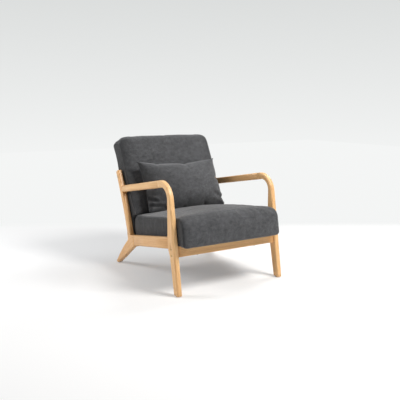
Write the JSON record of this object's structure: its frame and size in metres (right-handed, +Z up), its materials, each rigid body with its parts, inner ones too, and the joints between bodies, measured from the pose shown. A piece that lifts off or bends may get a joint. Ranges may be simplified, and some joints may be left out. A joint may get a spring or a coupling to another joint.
{
  "type": "accent chair",
  "caption": "Lounge chair with open timber side frames whose front legs bend into the arms, a thick sloping seat, a reclined back and a loose lumbar pillow.",
  "frame": {"origin": "Middle of the chair's footprint box, on the floor.", "axes": "+Y points from the front of the chair to its back, +X to the right as seen from the front, +Z up."},
  "size_m": [0.66, 0.8722, 0.7558],
  "materials": {
    "frame_wood": "satin lacquered rubberwood with fine grain",
    "inner_wood": "plain sawn softwood and plywood",
    "upholstery": "charcoal woven polyester",
    "pillow_fabric": "charcoal woven polyester",
    "brass_bolt": "satin",
    "plated_steel": "zinc plated",
    "glide": "matte",
    "webbing": "elastic webbing",
    "foam": "open cell foam",
    "wadding": "loose fibre",
    "dust_cloth": "non-woven cloth",
    "zip": "matte"
  },
  "bodies": {
    "chair": {"front_leg_left": "frame_wood", "front_leg_right": "frame_wood", "arm_left": "frame_wood", "arm_right": "frame_wood", "rear_post_left": "frame_wood", "rear_post_right": "frame_wood", "side_rail_left": "frame_wood", "side_rail_right": "frame_wood", "rear_leg_left": "frame_wood", "rear_leg_right": "frame_wood", "front_rail": "frame_wood", "rear_rail": "frame_wood", "frame_dowels": "inner_wood", "rail_bolts": "brass_bolt", "barrel_nuts": "plated_steel", "foot_glides": "glide", "corner_brackets": "plated_steel", "bracket_screws": "plated_steel", "seat_frame": "inner_wood", "seat_webbing": "webbing", "seat_foam": "foam", "seat_cover": "upholstery", "seat_dust_cover": "dust_cloth", "seat_bolts_front": "plated_steel", "seat_bolts_rear": "plated_steel", "seat_nuts": "plated_steel", "back_frame": "inner_wood", "back_webbing": "webbing", "back_foam": "foam", "back_cover": "upholstery", "back_bolts": "brass_bolt", "back_spacers": "glide", "back_inserts": "brass_bolt", "back_screws": "plated_steel"},
    "pillow": {"pillow_cover": "pillow_fabric", "pillow_fill": "wadding", "pillow_zip": "zip"}
  },
  "joints": [
    {"name": "pillow_lift", "type": "slide", "parent": "chair", "child": "pillow", "axis": [0, 0, 1], "range_m": [0, 0.3]}
  ]
}
